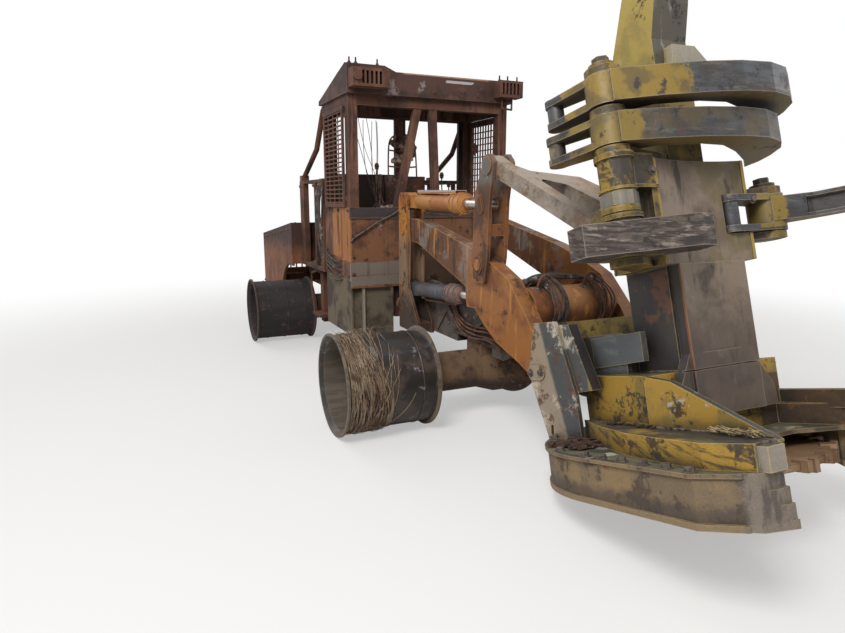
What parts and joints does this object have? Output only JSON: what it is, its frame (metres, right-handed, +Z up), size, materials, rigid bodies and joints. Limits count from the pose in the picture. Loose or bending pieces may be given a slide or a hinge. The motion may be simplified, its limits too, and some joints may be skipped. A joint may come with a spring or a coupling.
{
  "type": "wheeled feller buncher",
  "caption": "Burnt-out articulated wheeled feller buncher on bare rims, with a barred cab, lift arms and a tilting saw head with grab arms.",
  "frame": {"origin": "middle of the machine's length and width, on the ground under the bare rims", "axes": "+X forward towards the felling head, +Y to the machine's left, +Z up"},
  "size_m": [7.7134, 2.86, 3.1258],
  "materials": {
    "body_steel": "matte",
    "cab_paint": "matte",
    "boom_paint": "matte",
    "head_paint": "matte",
    "arm_steel": "matte",
    "axle_iron": "matte",
    "engine_iron": "matte",
    "rim_steel": "matte",
    "rod_chrome": "satin",
    "saw_steel": "matte",
    "burnt_steel": "matte"
  },
  "bodies": {
    "rear": {"rear_frame": "body_steel", "side_tanks": "body_steel", "rear_axle": "axle_iron", "cab_base": "cab_paint", "cab_frame": "cab_paint", "cab_roof": "cab_paint", "roof_lamp_boxes": "cab_paint", "right_window_guard": "cab_paint", "cab_door_hinges": "axle_iron", "seat_and_console": "burnt_steel", "limb_risers": "body_steel", "engine_hood": "body_steel", "rear_enclosure": "body_steel", "engine": "engine_iron", "rear_door_hinges": "axle_iron", "access_steps": "body_steel"},
    "cab_door": {"cab_door": "cab_paint"},
    "rear_door": {"rear_grille_door": "body_steel"},
    "front": {"front_frame": "body_steel", "boom_towers": "boom_paint", "front_axle": "axle_iron"},
    "wheel_front_right": {"wheel_front_right": "rim_steel"},
    "wheel_front_left": {"wheel_front_left": "rim_steel"},
    "wheel_rear_right": {"wheel_rear_right": "rim_steel"},
    "wheel_rear_left": {"wheel_rear_left": "rim_steel"},
    "lift_arms": {"lift_arms": "boom_paint"},
    "lift_barrels": {"lift_barrels": "boom_paint"},
    "lift_rods": {"lift_rods": "rod_chrome"},
    "tilt_barrel": {"tilt_barrel": "boom_paint"},
    "tilt_rod": {"tilt_rod": "rod_chrome"},
    "tilt_lever": {"tilt_lever": "boom_paint"},
    "tilt_link": {"tilt_link": "boom_paint"},
    "head": {"saw_housing": "head_paint", "head_base": "head_paint", "head_spine": "head_paint", "pivot_brackets": "head_paint", "trunk_plate_lower": "head_paint", "trunk_plate_upper": "head_paint", "horn": "head_paint"},
    "saw_disc": {"saw_disc": "saw_steel"},
    "arm_lower_right": {"arm_lower_right": "arm_steel"},
    "arm_lower_left": {"arm_lower_left": "arm_steel"},
    "arm_middle_right": {"arm_middle_right": "arm_steel"},
    "arm_upper_right": {"arm_upper_right": "arm_steel"}
  },
  "joints": [
    {"name": "steering", "type": "hinge", "parent": "rear", "child": "front", "pos_m": [-0.19669, 0, 0.65], "axis": [0, 0, 1], "range_deg": [-30, 30]},
    {"name": "wheel_front_right_spin", "type": "hinge", "parent": "front", "child": "wheel_front_right", "pos_m": [1.10331, -1.09, 0.365], "axis": [0, 1, 0], "continuous": true},
    {"name": "wheel_front_left_spin", "type": "hinge", "parent": "front", "child": "wheel_front_left", "pos_m": [1.10331, 1.09, 0.365], "axis": [0, 1, 0], "continuous": true},
    {"name": "wheel_rear_right_spin", "type": "hinge", "parent": "rear", "child": "wheel_rear_right", "pos_m": [-2.18069, -1.09, 0.365], "axis": [0, 1, 0], "continuous": true},
    {"name": "wheel_rear_left_spin", "type": "hinge", "parent": "rear", "child": "wheel_rear_left", "pos_m": [-2.18069, 1.09, 0.365], "axis": [0, 1, 0], "continuous": true},
    {"name": "boom_lift", "type": "hinge", "parent": "front", "child": "lift_arms", "pos_m": [0.08331, 0, 1.4], "axis": [0, -1, 0], "range_deg": [0, 42]},
    {"name": "lift_barrel_swing", "type": "hinge", "parent": "front", "child": "lift_barrels", "pos_m": [0.06831, 0, 0.86], "axis": [0, -1, 0], "range_deg": [-1, 38.02]},
    {"name": "lift_rod_slide", "type": "slide", "parent": "lift_barrels", "child": "lift_rods", "axis": [0.9972, 0, 0.0745], "range_m": [-0.01, 0.3882]},
    {"name": "tilt_barrel_swing", "type": "hinge", "parent": "front", "child": "tilt_barrel", "pos_m": [0.08331, -0.38, 1.63], "axis": [0, -1, 0], "range_deg": [-1, 45.84]},
    {"name": "tilt_rod_slide", "type": "slide", "parent": "tilt_barrel", "child": "tilt_rod", "axis": [0.9999, 0, -0.0146], "range_m": [-0.0822, 0.3708]},
    {"name": "head_tilt", "type": "hinge", "parent": "lift_arms", "child": "head", "pos_m": [2.14284, 0, 0.61196], "axis": [0, 1, 0], "range_deg": [-8, 40]},
    {"name": "tilt_lever_swing", "type": "hinge", "parent": "lift_arms", "child": "tilt_lever", "pos_m": [1.43331, -0.38, 1.2], "axis": [0, 1, 0], "range_deg": [-11.51, 55.56]},
    {"name": "tilt_link_swing", "type": "hinge", "parent": "head", "child": "tilt_link", "pos_m": [2.45192, 0, 1.45689], "axis": [0, 1, 0], "range_deg": [-37.57, 7.91]},
    {"name": "saw_spin", "type": "hinge", "parent": "head", "child": "saw_disc", "pos_m": [2.94311, 0, 0.3244], "axis": [-0.2756, 0, 0.9613], "continuous": true},
    {"name": "arm_lower_right_swing", "type": "hinge", "parent": "head", "child": "arm_lower_right", "pos_m": [2.88889, -0.5, 1.43862], "axis": [-0.2756, 0, 0.9613], "range_deg": [-100, 4]},
    {"name": "arm_lower_left_swing", "type": "hinge", "parent": "head", "child": "arm_lower_left", "pos_m": [2.85305, 0.5, 1.56359], "axis": [-0.2756, 0, 0.9613], "range_deg": [-117, 3]},
    {"name": "arm_middle_right_swing", "type": "hinge", "parent": "head", "child": "arm_middle_right", "pos_m": [2.74142, -0.5, 1.9529], "axis": [-0.2756, 0, 0.9613], "range_deg": [-100, 4]},
    {"name": "arm_upper_right_swing", "type": "hinge", "parent": "head", "child": "arm_upper_right", "pos_m": [2.68684, -0.5, 2.14323], "axis": [-0.2756, 0, 0.9613], "range_deg": [-94, 10]},
    {"name": "cab_door_swing", "type": "hinge", "parent": "rear", "child": "cab_door", "pos_m": [-1.00069, 0.85, 1.7], "axis": [0, 0, 1], "range_deg": [0, 100]},
    {"name": "rear_door_swing", "type": "hinge", "parent": "rear", "child": "rear_door", "pos_m": [-3.84469, 0.93, 0.8], "axis": [0, 0, -1], "range_deg": [0, 100]}
  ],
  "couplings": [
    {"joint": "lift_barrel_swing", "follows": "boom_lift", "ratio": 0.8672},
    {"joint": "lift_rod_slide", "follows": "boom_lift", "m_per_rad": 0.5009},
    {"joint": "tilt_barrel_swing", "follows": "boom_lift", "ratio": 1.048},
    {"joint": "tilt_rod_slide", "follows": "head_tilt", "m_per_rad": 0.5018},
    {"joint": "tilt_lever_swing", "follows": "head_tilt", "ratio": 1.3364},
    {"joint": "tilt_link_swing", "follows": "head_tilt", "ratio": -0.8997}
  ]
}
